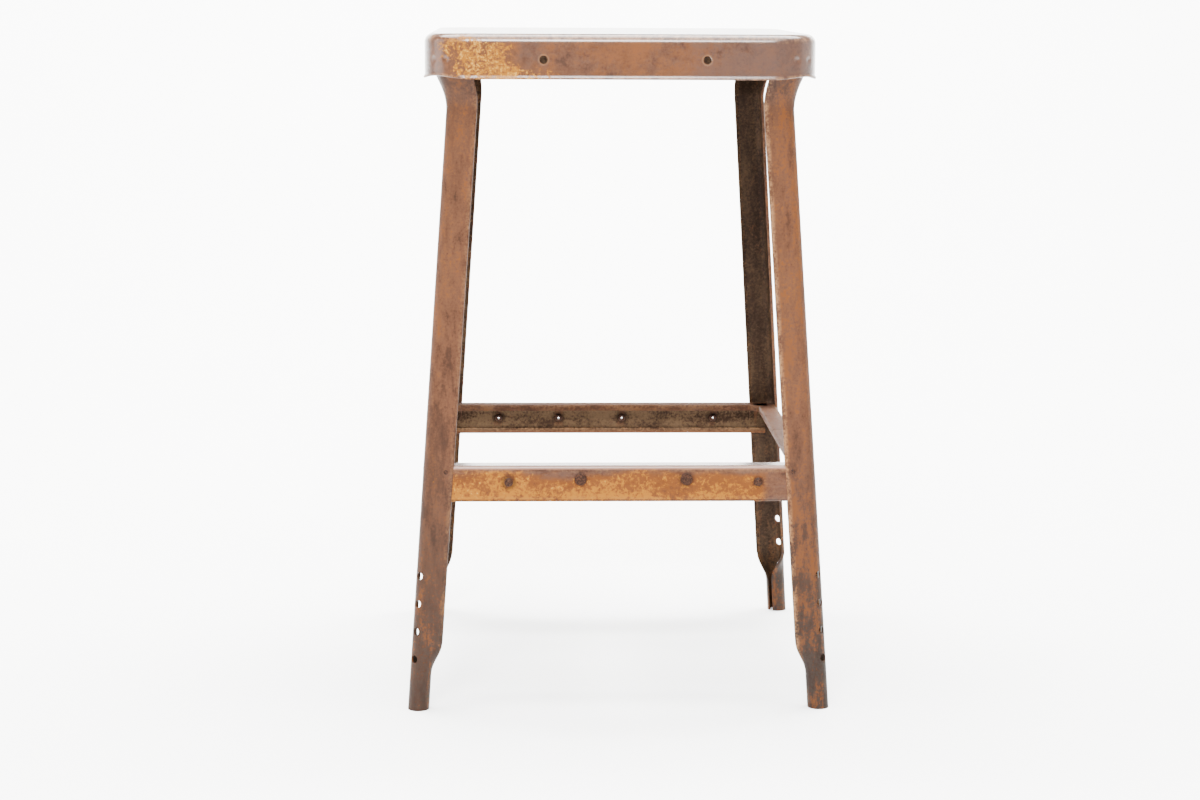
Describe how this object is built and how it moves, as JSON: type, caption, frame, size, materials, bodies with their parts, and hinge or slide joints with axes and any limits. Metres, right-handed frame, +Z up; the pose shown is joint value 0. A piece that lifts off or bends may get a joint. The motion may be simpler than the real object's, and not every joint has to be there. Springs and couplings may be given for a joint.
{
  "type": "bar stool",
  "caption": "Backless square-seat bar stool in folded sheet steel, with splayed angle legs, tubular feet and a ring of channel foot rails.",
  "frame": {"origin": "on the floor, under the middle of the seat", "axes": "+X to the right as seen from the front, +Y to the rear, +Z up"},
  "size_m": [0.385, 0.385, 0.6096],
  "materials": {
    "seat_paint": "satin",
    "leg_paint": "satin",
    "front_rail_paint": "matte",
    "rail_paint": "satin",
    "rivet_iron": "satin"
  },
  "bodies": {
    "root": {"seat_pan": "seat_paint", "leg_front_left": "leg_paint", "leg_front_right": "leg_paint", "leg_rear_left": "leg_paint", "leg_rear_right": "leg_paint", "rail_front": "front_rail_paint", "rail_rear": "rail_paint", "rail_left": "rail_paint", "rail_right": "rail_paint", "front_rail_rivets": "rivet_iron", "front_rail_plugs": "rivet_iron", "rear_rail_rivets": "rivet_iron", "joint_rivets_front_left": "rivet_iron", "joint_rivets_front_right": "rivet_iron", "joint_rivets_rear_left": "rivet_iron", "joint_rivets_rear_right": "rivet_iron"}
  },
  "joints": []
}
